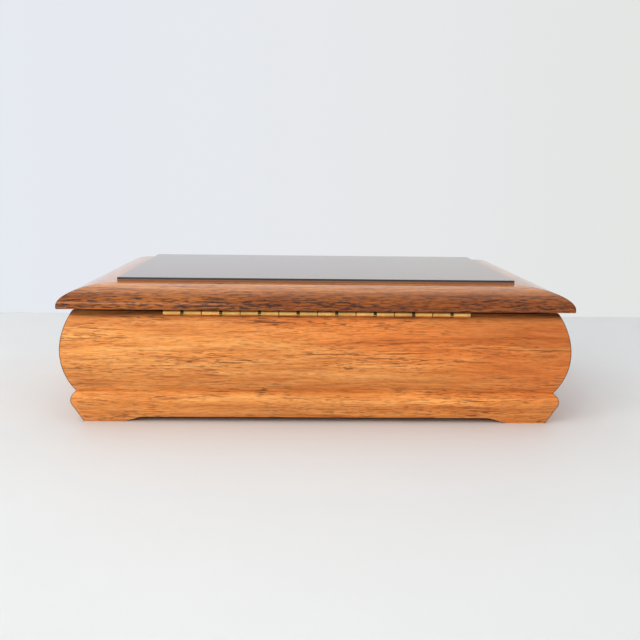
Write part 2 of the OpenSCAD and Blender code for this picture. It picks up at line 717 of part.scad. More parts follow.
module cylinder_drum() color("gold") in_movement() translate([0, 0, axis_h]) difference() {
    rod_along_x(drum_r, -drum_len / 2, drum_len / 2);
    rod_along_x(drum_r - drum_wall, -drum_len / 2 - 1, drum_len / 2 + 1);
}

module drum_caps() color("gold") in_movement() translate([0, 0, axis_h]) for (s = [-1, 1])
    translate([s * (drum_len / 2 - cap_t), 0, 0]) difference() {
        union() {
            rod_along_x(drum_r - drum_wall - snug, -cap_t / 2, cap_t / 2);
            rod_along_x(3, -cap_t, cap_t);
        }
        rod_along_x(shaft_r + snug, -cap_t - 1, cap_t + 1);
    }

// the cylinder's arbor, with the pinion that the crown wheel drives
module cylinder_arbor() color("silver") in_movement() translate([0, 0, axis_h]) {
    rod_along_x(shaft_r, crown_mid_x - crown_face_w / 2 - 1, right_bracket_x + bracket_t + 1);
    translate([crown_mid_x, 0, 0]) run_x(crown_face_w + 0.6)
        rotate(-90 + 180 / crown_pinion_teeth)
            gear_outline(crown_pinion_teeth, crown_m, 0.5, 0.75, 0.35);
}

module cylinder_gear() color("gold") in_movement() translate([0, 0, axis_h]) difference() {
    translate([drum_gear_x + gear_t / 2, 0, 0]) run_x(gear_t) rotate(transfer_angle)
        gear_outline(drum_gear_teeth, fine_m, 0.3, 0.55, 0.16);
    rod_along_x(shaft_r + snug, drum_gear_x - 1, drum_gear_x + gear_t + 1);
}

module transfer_arbor() color("silver") in_movement() translate([0, transfer_y, transfer_z]) {
    rod_along_x(transfer_arbor_r, drum_gear_x - 0.6, right_cheek_x + cheek_t + 0.5);
    translate([drum_gear_x + gear_t / 2, 0, 0]) run_x(gear_t + 0.6)
        rotate(transfer_angle + 180 + 180 / transfer_teeth)
            gear_outline(transfer_teeth, fine_m, 0.32, 0.48, 0.2);
}

module worm_wheel() color("gold") in_movement() translate([0, transfer_y, transfer_z]) difference() {
    union() {
        translate([worm_x, 0, 0]) run_x(2)
            gear_outline(worm_wheel_teeth, fine_m, 0.26, 0.5, 0.3);
        rod_along_x(2.2, worm_x - 2, worm_x + 2);
    }
    rod_along_x(transfer_arbor_r + snug, worm_x - 3, worm_x + 3);
}

// the fan's arbor with its right-hand worm, whose thread clears a wheel tooth on the -Y side
module worm_arbor() color("silver") in_movement() translate([worm_x, worm_y, 0]) {
    translate([0, 0, 1.1]) cylinder(r = pivot_r, h = top_arm_z + top_arm_t - 1.3);
    translate([0, 0, frame_t + 0.2]) cylinder(r = worm_arbor_r, h = top_arm_z - frame_t - 0.4);
    translate([0, 0, transfer_z - worm_len / 2])
        linear_extrude(worm_len, twist = -360 * worm_len / worm_lead, slices = 63, $fn = 16)
            rotate(90 - 180 * worm_len / worm_lead) translate([worm_throw, 0])
                polygon([for (k = [0:15]) polar(worm_r, k * 22.5)]);
}

// fan: two blades on a hub, under the brake disc
module fan() color("gold") in_movement() translate([worm_x, worm_y, 0]) difference() {
    union() {
        translate([0, 0, fan_z - 0.3]) cylinder(r = 1.7, h = fan_h + 0.3);
        translate([-fan_r + 0.1, -0.2, fan_z]) cube([2 * fan_r - 0.2, 0.4, fan_h]);
        translate([0, 0, brake_z]) cylinder(r = brake_r, h = brake_t);
    }
    translate([0, 0, fan_z - 1]) cylinder(r = worm_arbor_r + snug, h = fan_h + 4);
}

module spring_barrel() color("gold") at_barrel() difference() {
    translate([0, 0, barrel_z]) cylinder(r = barrel_r, h = cover_z - barrel_z);
    translate([0, 0, barrel_z + barrel_floor]) cylinder(r = barrel_r - barrel_wall, h = 20);
    cylinder(r = arbor_r + run, h = 20);
}

// cover of the barrel, with the radial teeth of the crown wheel on its rim
module crown_wheel() color("gold") at_barrel() difference() {
    union() {
        translate([0, 0, cover_z]) cylinder(r = barrel_r, h = cover_t);
        for (i = [0:crown_teeth - 1]) rotate(i * 360 / crown_teeth)
            translate([crown_r, 0, crown_root_z]) run_x(crown_face_w)
                polygon([[-0.55, -0.2], [0.55, -0.2], [0.16, crown_tip_z - crown_root_z],
                    [-0.16, crown_tip_z - crown_root_z]]);
    }
    translate([0, 0, cover_z - 1]) cylinder(r = arbor_r + run, h = 10);
}

// coiled mainspring in the barrel
module mainspring() color("slategray") at_barrel() translate([0, 0, barrel_z + barrel_floor + 0.3]) {
    turns = 7;
    per_turn = 24;
    r0 = hub_r + 0.1;
    pitch = (barrel_r - barrel_wall - 0.7 - r0) / turns;
    thick = 0.6;
    count = turns * per_turn;
    linear_extrude(cover_z - barrel_z - barrel_floor - 0.6) polygon(concat(
        [for (k = [0:count]) polar(r0 + pitch * k / per_turn, k * 360 / per_turn)],
        [for (k = [count:-1:0]) polar(r0 + thick + pitch * k / per_turn, k * 360 / per_turn)]));
}

module winding_arbor() color("silver") at_barrel() {
    translate([0, 0, key_z - plate_z]) cylinder(r = arbor_r, h = bridge_z - 0.2 - key_z + plate_z);
    translate([0, 0, barrel_z + barrel_floor + 0.2])
        cylinder(r = hub_r, h = cover_z - barrel_z - barrel_floor - 0.4);
    translate([0, 0, bridge_z - 0.5])
        cylinder(r = bridge_pivot_r, h = ratchet_z + ratchet_t + 0.8 - bridge_z + 0.5);
}

module ratchet_wheel() color("silver") at_barrel() translate([0, 0, ratchet_z]) difference() {
    linear_extrude(ratchet_t) polygon([for (i = [0:ratchet_teeth - 1])
        let (a = i * 360 / ratchet_teeth) each [polar(ratchet_r - ratchet_depth, a), polar(ratchet_r, a)]]);
    translate([0, 0, -1]) cylinder(r = bridge_pivot_r + snug, h = ratchet_t + 2);
}

module winding_key() color("gold") at_barrel() translate([0, 0, key_z - plate_z]) difference() {
    union() {
        translate([0, 0, -1]) cylinder(r = 4, h = 8.2);
        for (s = [-1, 1]) translate([s * (key_span / 2 - 5.5), 1.25, -0.2]) rotate([90, 0, 0])
            cylinder(r = 5.5, h = 2.5);
        translate([-key_span / 2 + 5.5, -1.25, -2.4]) cube([key_span - 11, 2.5, 4.4]);
    }
    cylinder(r = arbor_r + snug, h = 20);
}

module click() color("silver") at_barrel() translate([click_x, click_y, ratchet_z]) difference() {
    linear_extrude(ratchet_t) union() {
        circle(2.3);
        polygon([[-1.1, -2.02], [6.62, -6.06], [7.1, -5.3], [4.2, -1.6], [2.1, 0.9]]);
    }
    translate([0, 0, -1]) cylinder(r = screw_r + run, h = ratchet_t + 2);
}

// ---------- stop ----------

// rod that the shut lid holds down, with the arm that stands over the brake disc
module stop_rod() color("gold") in_movement() {
    translate([rod_x, worm_y, rod_foot]) cylinder(r = rod_r, h = rod_top - rod_foot);
    translate([stop_pad_x, worm_y - stop_arm_w / 2, stop_arm_z])
        cube([rod_x - stop_pad_x, stop_arm_w, stop_arm_t]);
    translate([stop_pad_x, worm_y, stop_arm_z]) cylinder(r = stop_arm_w / 2, h = stop_arm_t);
}

module stop_pad() color("darkred") in_movement()
    translate([stop_pad_x, worm_y, stop_arm_z - stop_pad_t]) cylinder(r = 1.2, h = stop_pad_t);

front_board();
rear_board();
left_board();
right_board();
bottom_board();
corner_blocks();
long_divider();
short_divider();
glass_ledges();
glass_pane();
glazing_beads();
front_bay_lining();
rear_bay_lining();
hinge_lower_leaf();
hinge_lower_screws();
hinge_pin();
lid_front_rail();
lid_rear_rail();
lid_left_rail();
lid_right_rail();
lid_core();
lid_panel();
lid_lining();
hinge_upper_leaf();
hinge_upper_screws();
bedplate();
bedplate_spacers();
movement_screws();
comb_base();
comb();
comb_weights();
comb_screws();
cylinder_brackets();
barrel_bridge();
bridge_pillars();
bridge_screws();
governor_frame();
plate_screws();
click_spring();
key_bush();
stop_spring();
cylinder_drum();
drum_caps();
cylinder_arbor();
cylinder_gear();
spring_barrel();
crown_wheel();
mainspring();
winding_arbor();
ratchet_wheel();
winding_key();
click();
transfer_arbor();
worm_wheel();
worm_arbor();
fan();
stop_rod();
stop_pad();
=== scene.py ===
import math
import random

import bmesh
import bpy
from mathutils import Matrix, Vector
from mathutils.noise import noise as noiseValue


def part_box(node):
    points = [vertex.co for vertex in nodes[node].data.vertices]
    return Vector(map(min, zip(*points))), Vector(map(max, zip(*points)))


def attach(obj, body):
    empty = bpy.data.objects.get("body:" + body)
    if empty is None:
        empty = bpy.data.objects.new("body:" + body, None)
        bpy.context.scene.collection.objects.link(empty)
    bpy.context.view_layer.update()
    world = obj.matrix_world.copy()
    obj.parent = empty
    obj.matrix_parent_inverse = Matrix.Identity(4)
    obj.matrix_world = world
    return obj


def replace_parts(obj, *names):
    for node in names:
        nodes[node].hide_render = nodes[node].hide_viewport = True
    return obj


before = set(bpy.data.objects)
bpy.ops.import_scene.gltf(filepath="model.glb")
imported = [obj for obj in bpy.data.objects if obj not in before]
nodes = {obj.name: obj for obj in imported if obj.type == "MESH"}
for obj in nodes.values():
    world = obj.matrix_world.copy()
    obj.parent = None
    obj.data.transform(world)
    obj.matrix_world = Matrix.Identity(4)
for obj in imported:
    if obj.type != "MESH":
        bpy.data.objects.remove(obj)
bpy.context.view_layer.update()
scene = bpy.context.scene


# eye height of someone at the table, looking at the hinge side; turns in degrees
cameraSet = {"place": (0.01132, 0.63784, 0.16666), "yaw": -1.416, "down": 10.128, "roll": -0.700,
             "lens": 45.7, "sensor": 36, "nearest": 0.01}


def makeCamera():
    yaw, down, roll = (math.radians(cameraSet[k]) for k in ("yaw", "down", "roll"))
    ahead, right, up = Vector((0, -1, 0)), Vector((-1, 0, 0)), Vector((0, 0, 1))
    turn = Matrix.Rotation(yaw, 3, "Z")
    ahead, right = turn @ ahead, turn @ right
    ahead, up = (ahead * math.cos(down) - up * math.sin(down), up * math.cos(down) + ahead * math.sin(down))
    right, up = (right * math.cos(roll) - up * math.sin(roll), up * math.cos(roll) + right * math.sin(roll))
    data = bpy.data.cameras.new("boxCamera")
    data.lens = cameraSet["lens"]
    data.sensor_width = cameraSet["sensor"]
    data.clip_start = cameraSet["nearest"]
    cam = bpy.data.objects.new("boxCamera", data)
    scene.collection.objects.link(cam)
    turned = Matrix((right, up, -ahead)).transposed()
    cam.matrix_world = Matrix.Translation(cameraSet["place"]) @ turned.to_4x4()
    scene.camera = cam


makeCamera()
print("camera placed")


# helpers for node materials: a socket takes a number, a colour or another node's output

def newMaterial(name, **shader):
    mat = bpy.data.materials.new(name)
    mat.use_nodes = True
    bsdf = mat.node_tree.nodes["Principled BSDF"]
    for key, value in shader.items():
        bsdf.inputs[key.replace("_", " ")].default_value = value
    return mat, mat.node_tree, bsdf


def addNode(tree, kind, **settings):
    node = tree.nodes.new(kind)
    for key, value in settings.items():
        if hasattr(node, key):
            setattr(node, key, value)
        else:
            node.inputs[key.replace("_", " ")].default_value = value
    return node


def feed(tree, socket, value):
    if isinstance(value, (int, float)):
        socket.default_value = value
    elif isinstance(value, tuple):
        socket.default_value = (*value, 1)
    else:
        tree.links.new(value, socket)


def objectCoords(tree):
    return addNode(tree, "ShaderNodeTexCoord").outputs["Object"]


def splitAxes(tree, coords):
    split = addNode(tree, "ShaderNodeSeparateXYZ")
    tree.links.new(coords, split.inputs[0])
    return split.outputs


def stretched(tree, source, scale, move=(0, 0, 0), turn=(0, 0, 0)):
    mapping = addNode(tree, "ShaderNodeMapping", Scale=scale, Location=move, Rotation=turn)
    tree.links.new(source, mapping.inputs["Vector"])
    return mapping.outputs["Vector"]


def noise(tree, vector, detail=3.0, rough=0.5, distort=0.0):
    node = addNode(tree, "ShaderNodeTexNoise", Scale=1.0, Detail=detail, Roughness=rough, Distortion=distort)
    tree.links.new(vector, node.inputs["Vector"])
    return node.outputs["Fac"]


def ramp(tree, fac, stops, smooth=False):
    node = tree.nodes.new("ShaderNodeValToRGB")
    node.color_ramp.interpolation = "EASE" if smooth else "LINEAR"
    points = node.color_ramp.elements
    while len(points) < len(stops):
        points.new(0.5)
    for point, (place, value) in zip(points, stops):
        point.position = place
        point.color = (value, value, value, 1) if isinstance(value, (int, float)) else (*value, 1)
    tree.links.new(fac, node.inputs["Fac"])
    return node.outputs["Color"]


def mixed(tree, kind, fac, a, b):
    node = tree.nodes.new("ShaderNodeMix")
    node.data_type = "RGBA"
    node.blend_type = kind
    for number, value in ((0, fac), (6, a), (7, b)):  # 6 and 7 are the colour sockets
        feed(tree, node.inputs[number], value)
    return node.outputs[2]


def mathNode(tree, operation, *values, clamp=False):
    node = addNode(tree, "ShaderNodeMath", operation=operation, use_clamp=clamp)
    for socket, value in zip(node.inputs, values):
        feed(tree, socket, value)
    return node.outputs[0]


def masked(tree, a, b):
    return mathNode(tree, "MULTIPLY", a, b, clamp=True)


def limits(tree, value, low, high, first=0.0, last=1.0):
    node = addNode(tree, "ShaderNodeMapRange", From_Min=low, From_Max=high, To_Min=first, To_Max=last)
    tree.links.new(value, node.inputs["Value"])
    return node.outputs["Result"]


# how far a point lies outside a rectangle around the middle, negative inside it
def outside(tree, x, y, halfX, halfY):
    outX = mathNode(tree, "SUBTRACT", mathNode(tree, "ABSOLUTE", x), halfX)
    outY = mathNode(tree, "SUBTRACT", mathNode(tree, "ABSOLUTE", y), halfY)
    return mathNode(tree, "MAXIMUM", outX, outY)


def bumped(tree, bsdf, height, depth, strength=1.0, before=None):
    node = addNode(tree, "ShaderNodeBump", Strength=strength, Distance=depth)
    tree.links.new(height, node.inputs["Height"])
    if before is not None:
        tree.links.new(before, node.inputs["Normal"])
    tree.links.new(node.outputs["Normal"], bsdf.inputs["Normal"])
    return node.outputs["Normal"]


# wood: open-pored hardwood, grain along X or Y
# each layer of the figure: cycles a metre along and across the grain, move, detail, roughness, distortion
grainLayers = {
    "wander": ((7, 38, 38), (0, 0, 0), 3.0, 0.55, 0.3),  # clouds of darker wood
    "bands": ((13, 230, 230), (0, 0, 0), 5.0, 0.68, 0.4),  # growth lines
    "fibre": ((95, 1400, 1400), (0, 0, 0), 3.0, 0.72, 0.0),
    "fleck": ((150, 1150, 1150), (1.9, 0.7, 2.2), 2.0, 0.5, 0.0),
    "short": ((125, 900, 900), (0, 0, 0), 1.0, 0.5, 0.0),  # short pores
    "long": ((36, 860, 860), (3.1, 1.7, 0.4), 2.0, 0.5, 0.0),  # long pores
    "gather": ((13, 62, 62), (0.8, 2.3, 5.1), 3.0, 0.62, 0.0),  # where pores stand close together
}
grainSet = {"drift": (9, 30, 30), "lift": 0.0048,  # slow wander that lifts and drops the grain lines
            "cloud": [(0.33, (0.66, 0.50, 0.36)), (0.50, (0.93, 0.86, 0.80)), (0.64, (1.10, 1.14, 1.18))],
            "fibre": [(0.30, (0.62, 0.50, 0.40)), (0.58, (1.07, 1.07, 1.07))], "fibreMost": 0.55,
            "gathered": (0.42, 0.64), "scattered": 0.28, "cleared": 0.45,
            "poreDepth": -0.00010, "poreBump": 0.5, "fibreDepth": 0.00003, "fibreBump": 0.35}
poreLimits = {"fleck": (0.36, 0.45), "short": (0.27, 0.36), "long": (0.30, 0.38)}
slantSlope = -0.25  # a slant is the height less a quarter of x
# dark hairline where the boards of a frame meet at 45 degrees; offset is half of width less depth
seamSet = {"offset": 0.055, "from": 0.00025, "to": 0.0006, "most": 0.85, "tone": (0.02, 0.008, 0.004)}


def seamMask(tree, x, y):
    apart = mathNode(tree, "SUBTRACT", mathNode(tree, "ABSOLUTE", x), mathNode(tree, "ABSOLUTE", y))
    off = mathNode(tree, "ABSOLUTE", mathNode(tree, "SUBTRACT", apart, seamSet["offset"]))
    return masked(tree, limits(tree, off, seamSet["from"], seamSet["to"], 1.0, 0.0), seamSet["most"])


def grainFlow(tree, coords, grain, shift):
    turn = (0, 0, 0) if grain == "X" else (0, 0, math.radians(-90))
    along = stretched(tree, coords, (1, 1, 1), (shift, shift * 0.37, shift * 0.61), turn)
    drift = addNode(tree, "ShaderNodeTexNoise", Scale=1.0, Detail=2.0)
    tree.links.new(stretched(tree, along, grainSet["drift"]), drift.inputs["Vector"])
    bend = addNode(tree, "ShaderNodeVectorMath", operation="MULTIPLY_ADD")
    tree.links.new(drift.outputs["Color"], bend.inputs[0])
    bend.inputs[1].default_value = (0.0, grainSet["lift"], grainSet["lift"])
    tree.links.new(along, bend.inputs[2])
    return bend.outputs[0]


def woodMaterial(name, grain, shift, tones, look):
    mat, tree, bsdf = newMaterial(name, Coat_Weight=look["coat"], Coat_Roughness=look["coatRough"],
                                  Coat_IOR=look["coatIor"], Specular_IOR_Level=look["shine"])
    coords = objectCoords(tree)
    x, y, z = splitAxes(tree, coords)
    flow = grainFlow(tree, coords, grain, shift)
    layer = {}
    for kind, (scale, move, *shape) in {**grainLayers, **look.get("layers", {})}.items():
        layer[kind] = noise(tree, stretched(tree, flow, scale, move), *shape)
    light, middle, dark, poreTone = tones
    colour = ramp(tree, layer["bands"], list(zip(look["spread"], (dark, middle, light))))
    colour = mixed(tree, "MULTIPLY", look["cloud"], colour, ramp(tree, layer["wander"], grainSet["cloud"]))
    axes = {"x": x, "z": z, "slant": mathNode(tree, "MULTIPLY_ADD", x, slantSlope, z)}
    # painted light and shade: each band multiplies the wood colour
    for axis, first, last, tint in look.get("paintedLight", ()):
        colour = mixed(tree, "MULTIPLY", limits(tree, axes[axis], first, last), colour, tint)
    colour = mixed(tree, "MULTIPLY", grainSet["fibreMost"], colour, ramp(tree, layer["fibre"], grainSet["fibre"]))
    few = limits(tree, layer["gather"], *grainSet["gathered"], look.get("even", grainSet["scattered"]), 1.0)
    if "clear" in look:
        few = masked(tree, few, limits(tree, z, *look["clear"], 1.0, grainSet["cleared"]))
    spots = {}
    for kind, (low, high) in poreLimits.items():
        more = look.get("more", 0.0)
        spots[kind] = masked(tree, limits(tree, layer[kind], low + more, high + more, 1.0, 0.0), few)
    pores = masked(tree, mathNode(tree, "ADD", spots["short"], spots["long"], clamp=True), look["pores"])
    fleckTone = tuple((a + b) / 2 for a, b in zip(dark, poreTone))
    colour = mixed(tree, "MIX", masked(tree, spots["fleck"], look["flecks"]), colour, fleckTone)
    colour = mixed(tree, "MIX", pores, colour, poreTone)
    if look.get("seam"):
        colour = mixed(tree, "MIX", seamMask(tree, x, y), colour, seamSet["tone"])
    # painted shadow under the lid, with old polish, uneven along the grain bands
    if "shade" in look:
        shade = look["shade"]
        dim = limits(tree, z, shade["from"], shade["to"], 0.0, shade["most"])
        uneven = limits(tree, layer["bands"], *shade["uneven"])
        colour = mixed(tree, "MIX", masked(tree, dim, uneven), colour, shade["tone"])
    # painted shade line along the panel's upper edge, and its sides painted lighter
    if "edge" in look:
        edge = look["edge"]
        rim = limits(tree, outside(tree, x, y, edge["halfX"], edge["halfY"]), *edge["rim"])
        level = limits(tree, z, edge["from"], edge["to"])
        colour = mixed(tree, "MIX", masked(tree, rim, edge["sideMost"]), colour, edge["side"])
        colour = mixed(tree, "MIX", masked(tree, level, rim), colour, edge["tone"])
    tree.links.new(colour, bsdf.inputs["Base Color"])
    rough = limits(tree, layer["fibre"], 0.3, 0.7, look["gloss"] + 0.10, look["gloss"] - 0.04)
    tree.links.new(rough, bsdf.inputs["Roughness"])
    fibres = bumped(tree, bsdf, layer["fibre"], grainSet["fibreDepth"], grainSet["fibreBump"])
    bumped(tree, bsdf, pores, grainSet["poreDepth"], grainSet["poreBump"], fibres)
    return mat


# tones from the lightest wood to the pores
woodTones = {
    "body": ((0.90, 0.42, 0.125), (0.79, 0.30, 0.074), (0.56, 0.175, 0.039), (0.17, 0.046, 0.013)),
    "lid": ((0.450, 0.142, 0.019), (0.330, 0.092, 0.011), (0.150, 0.038, 0.007), (0.020, 0.009, 0.005)),
    "panel": ((0.165, 0.062, 0.028), (0.125, 0.046, 0.021), (0.080, 0.029, 0.014), (0.022, 0.011, 0.006)),
    "inner": ((0.34, 0.13, 0.05), (0.25, 0.09, 0.034), (0.17, 0.06, 0.024), (0.06, 0.025, 0.012)),
    "plain": ((0.70, 0.46, 0.245), (0.62, 0.385, 0.19), (0.50, 0.29, 0.135), (0.30, 0.16, 0.07)),
}
# painted light and shade: each multiplies the wood between two places along x, z or the slant, as light and shade
# fall across the boards
bodyLightAndShade = (
    ("x", 0.13, 0.02, (0.92, 0.90, 0.89)),
    ("x", 0.02, -0.14, (1.13, 1.12, 1.09)),
    ("slant", 0.050, 0.068, (1.0, 0.84, 0.74)),
    ("slant", 0.076, 0.097, (0.74, 0.72, 0.74)),
    ("z", 0.050, 0.070, (0.98, 0.93, 0.90)),
    ("z", 0.037, 0.0315, (0.93, 0.89, 0.85)),
    ("z", 0.0262, 0.0205, (1.16, 1.22, 1.26)),
)
# the right end keeps only the painted light and shade by height
rightLightAndShade = bodyLightAndShade[4:]
# painted light and shade on the lid: darker to the right, and a painted highlight of sheen along the top of the
# ovolo
lidLightAndShade = (
    ("x", 0.12, -0.15, (0.82, 0.75, 0.68)),
    ("z", 0.0884, 0.0924, (2.1, 2.75, 4.3)),
    ("z", 0.0885, 0.0835, (1.04, 1.0, 0.94)),
)
# painted shadow under the lid along the top of the body, with old polish and dust darkening it too
lidShade = {"from": 0.0723, "to": 0.0756, "most": 0.95, "uneven": (0.62, 0.36, 0.55, 1.0),
            "tone": (0.030, 0.010, 0.004)}
# painted shade: a dark line along the upper edge of the panel, and its sides painted lighter below it
panelEdgeShade = {"from": 0.0945, "to": 0.0949, "halfX": 0.1371, "halfY": 0.0821, "rim": (-0.0008, -0.0005),
             "tone": (0.012, 0.006, 0.003), "side": (0.30, 0.115, 0.047), "sideMost": 0.75}
woodLooks = {
    "body": {"gloss": 0.50, "shine": 0.22, "coat": 0.2, "coatRough": 0.3, "coatIor": 1.35,
             "spread": (0.28, 0.46, 0.66), "cloud": 0.55, "pores": 0.9, "flecks": 0.75, "more": 0.028,
             "seam": True, "paintedLight": bodyLightAndShade, "shade": lidShade},
    "lid": {"gloss": 0.55, "shine": 0.10, "coat": 1.0, "coatRough": 0.10, "coatIor": 1.40,
            "spread": (0.30, 0.48, 0.66), "cloud": 0.35, "pores": 0.95, "flecks": 0.95, "more": 0.05,
            "even": 0.70, "layers": {"long": ((85, 860, 860), (3.1, 1.7, 0.4), 2.0, 0.5, 0.0)},
            "clear": (0.085, 0.091), "seam": True, "paintedLight": lidLightAndShade},
    "panel": {"gloss": 0.35, "shine": 0.3, "coat": 1.0, "coatRough": 0.07, "coatIor": 1.55,
              "spread": (0.30, 0.48, 0.66), "cloud": 0.2, "pores": 0.8, "flecks": 0.6, "edge": panelEdgeShade},
    "inner": {"gloss": 0.45, "shine": 0.3, "coat": 0.2, "coatRough": 0.2, "coatIor": 1.4,
              "spread": (0.30, 0.47, 0.66), "cloud": 0.5, "pores": 0.7, "flecks": 0.5},
    "plain": {"gloss": 0.62, "shine": 0.25, "coat": 0.0, "coatRough": 0.3, "coatIor": 1.4,
              "spread": (0.30, 0.47, 0.66), "cloud": 0.4, "pores": 0.35, "flecks": 0.3},
}
sideGloss = {"coatIor": 1.9, "coatRough": 0.05}  # the lid's ends are polished more

# the shift gives each board its own figure
woods = {}
for name, grain, shift, kind, change in (
    ("woodRear", "X", 0.0, "body", {}),
    ("woodFront", "X", 3.3, "body", {}),
    ("woodLeft", "Y", 5.9, "body", {}),
    ("woodRight", "Y", 8.1, "body", {"paintedLight": rightLightAndShade}),
    ("woodLidX", "X", 1.7, "lid", {}),
    ("woodLidY", "Y", 4.4, "lid", sideGloss),
    ("woodPanel", "X", 2.6, "panel", {}),
    ("woodInnerX", "X", 6.2, "inner", {}),
    ("woodInnerY", "Y", 7.5, "inner", {}),
    ("woodPlain", "X", 9.1, "plain", {}),
):
    woods[name] = woodMaterial(name, grain, shift, woodTones[kind], {**woodLooks[kind], **change})
print("woods made")


# metals: clouded by handling, with fine scratches
metalSet = {"cloud": (90, 90, 90), "dull": 0.14, "scratchDepth": 0.000012, "scratchBump": 0.35}


def metalMaterial(name, colour, rough, scratch, stain):
    mat, tree, bsdf = newMaterial(name, Metallic=1.0)
    coords = objectCoords(tree)
    cloud = noise(tree, stretched(tree, coords, metalSet["cloud"]), 4.0, 0.6)
    lines = noise(tree, stretched(tree, coords, scratch), 3.0, 0.6)
    tint = ramp(tree, cloud, [(0.30, tuple(c * stain for c in colour)), (0.62, colour)])
    tree.links.new(tint, bsdf.inputs["Base Color"])
    dull = ramp(tree, cloud, [(0.30, min(1.0, rough + metalSet["dull"])), (0.66, rough)])
    tree.links.new(dull, bsdf.inputs["Roughness"])
    bumped(tree, bsdf, lines, metalSet["scratchDepth"], metalSet["scratchBump"])
    return mat


brassKnuckle = metalMaterial("brassKnuckle", (0.96, 0.60, 0.19), 0.25, (300, 2600, 2600), 0.60)
brassDark = metalMaterial("brassDark", (0.14, 0.105, 0.05), 0.5, (900, 900, 900), 0.6)
brassPolished = metalMaterial("brassPolished", (0.86, 0.62, 0.27), 0.16, (900, 900, 900), 0.80)
brassBrushed = metalMaterial("brassBrushed", (0.82, 0.59, 0.26), 0.30, (60, 2400, 2400), 0.80)
steelGround = metalMaterial("steelGround", (0.62, 0.62, 0.63), 0.26, (2400, 90, 2400), 0.82)
steelComb = metalMaterial("steelComb", (0.60, 0.61, 0.63), 0.22, (2600, 60, 2600), 0.85)
steelBlued = metalMaterial("steelBlued", (0.05, 0.085, 0.26), 0.20, (900, 900, 900), 0.70)
leadDull = metalMaterial("leadDull", (0.26, 0.27, 0.29), 0.55, (500, 500, 500), 0.75)


# velvet and felt: brushed pile, with painted shade along the sewn lines of a quilt
clothSet = {"sheen": 0.35, "sheenRough": 0.45, "sheenTint": (1.0, 0.42, 0.40, 1), "brushed": (75, 110, 90),
            "pileShade": [(0.3, 0.55), (0.6, 1.1)], "pileDepth": 0.00025, "pileBump": 0.6}
quiltShadeSet = {"cushion": 0.10, "rim": (-0.0004, 0.0004), "hem": 0.0015, "shade": [(0.0, 0.36), (1.0, 1.0)]}


# 0 along the sewn lines of a quilt, 1 on its cushions and outside its rim: where the painted shade of the seams
# falls
def quiltShadeMask(tree, coords, quilt):
    x, y = splitAxes(tree, coords)[:2]
    lines = []
    for way in ("ADD", "SUBTRACT"):
        across = mathNode(tree, "DIVIDE", mathNode(tree, way, x, y), quilt["diamond"])
        lines.append(mathNode(tree, "PINGPONG", across, 0.5))
    cushions = limits(tree, mathNode(tree, "MINIMUM", *lines), 0.0, quiltShadeSet["cushion"])
    out = outside(tree, x, y, quilt["halfX"] - quilt["rim"], quilt["halfY"] - quilt["rim"])
    flat = mathNode(tree, "MAXIMUM", cushions, limits(tree, out, *quiltShadeSet["rim"]))
    hem = limits(tree, mathNode(tree, "ABSOLUTE", out), 0.0, quiltShadeSet["hem"])
    return mathNode(tree, "MINIMUM", flat, hem)


def clothMaterial(name, deep, light, weave, quilt=None):
    mat, tree, bsdf = newMaterial(name, Roughness=0.95, Sheen_Weight=clothSet["sheen"],
                                  Sheen_Roughness=clothSet["sheenRough"], Sheen_Tint=clothSet["sheenTint"],
                                  Specular_IOR_Level=0.1)
    coords = objectCoords(tree)
    brushed = noise(tree, stretched(tree, coords, clothSet["brushed"]), 3.0, 0.55, 0.3)
    pile = noise(tree, stretched(tree, coords, (weave, weave, weave)), 2.0, 0.5)
    colour = ramp(tree, brushed, [(0.32, deep), (0.68, light)], True)
    colour = mixed(tree, "MULTIPLY", 0.5, colour, ramp(tree, pile, clothSet["pileShade"]))
    if quilt:
        # painted shade in the sunk seams and along the rim of the quilt
        quiltShade = ramp(tree, quiltShadeMask(tree, coords, quilt), quiltShadeSet["shade"], True)
        colour = mixed(tree, "MULTIPLY", 1.0, colour, quiltShade)
    tree.links.new(colour, bsdf.inputs["Base Color"])
    bumped(tree, bsdf, pile, clothSet["pileDepth"], clothSet["pileBump"])
    return mat


velvet = {"deep": (0.20, 0.010, 0.017), "light": (0.25, 0.014, 0.022), "weave": 1500}
velvetRed = clothMaterial("velvetRed", **velvet)
feltRed = clothMaterial("feltRed", (0.22, 0.03, 0.02), (0.34, 0.06, 0.04), 2600)


def glassMaterial():
    mat, tree, bsdf = newMaterial("clearGlass", Roughness=0.02, IOR=1.45, Transmission_Weight=1.0)
    dust = noise(tree, stretched(tree, objectCoords(tree), (60, 60, 60)), 4.0, 0.6)
    tint = ramp(tree, dust, [(0.3, (0.93, 0.975, 0.965)), (0.7, (0.965, 0.99, 0.985))])
    tree.links.new(tint, bsdf.inputs["Base Color"])
    return mat


clearGlass = glassMaterial()
print("metals, cloth and glass made")


# pieces: each rides on its body and stands for its node
cleanSet = {"merge": 2e-7, "flat": 0.6}  # metres; degrees


def toMesh(bm, name, smooth=True, sharpFrom=None):
    mesh = bpy.data.meshes.new(name)
    bm.to_mesh(mesh)
    bm.free()
    for face in mesh.polygons:
        face.use_smooth = smooth
    if sharpFrom:
        mesh.set_sharp_from_angle(angle=math.radians(sharpFrom))
    return mesh


def place(mesh, name, material, body, slot, stands=()):
    piece = bpy.data.objects.new(name, mesh)
    scene.collection.objects.link(piece)
    mesh.materials.clear()
    mesh.materials.append(material)
    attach(piece, body)
    for node in stands:
        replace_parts(piece, node)
    return piece


def cleanCopy(node):
    bm = bmesh.new()
    bm.from_mesh(nodes[node].data)
    bmesh.ops.remove_doubles(bm, verts=bm.verts, dist=cleanSet["merge"])
    bmesh.ops.dissolve_limit(bm, angle_limit=math.radians(cleanSet["flat"]), verts=bm.verts, edges=bm.edges,
                             delimit=set())
    return bm


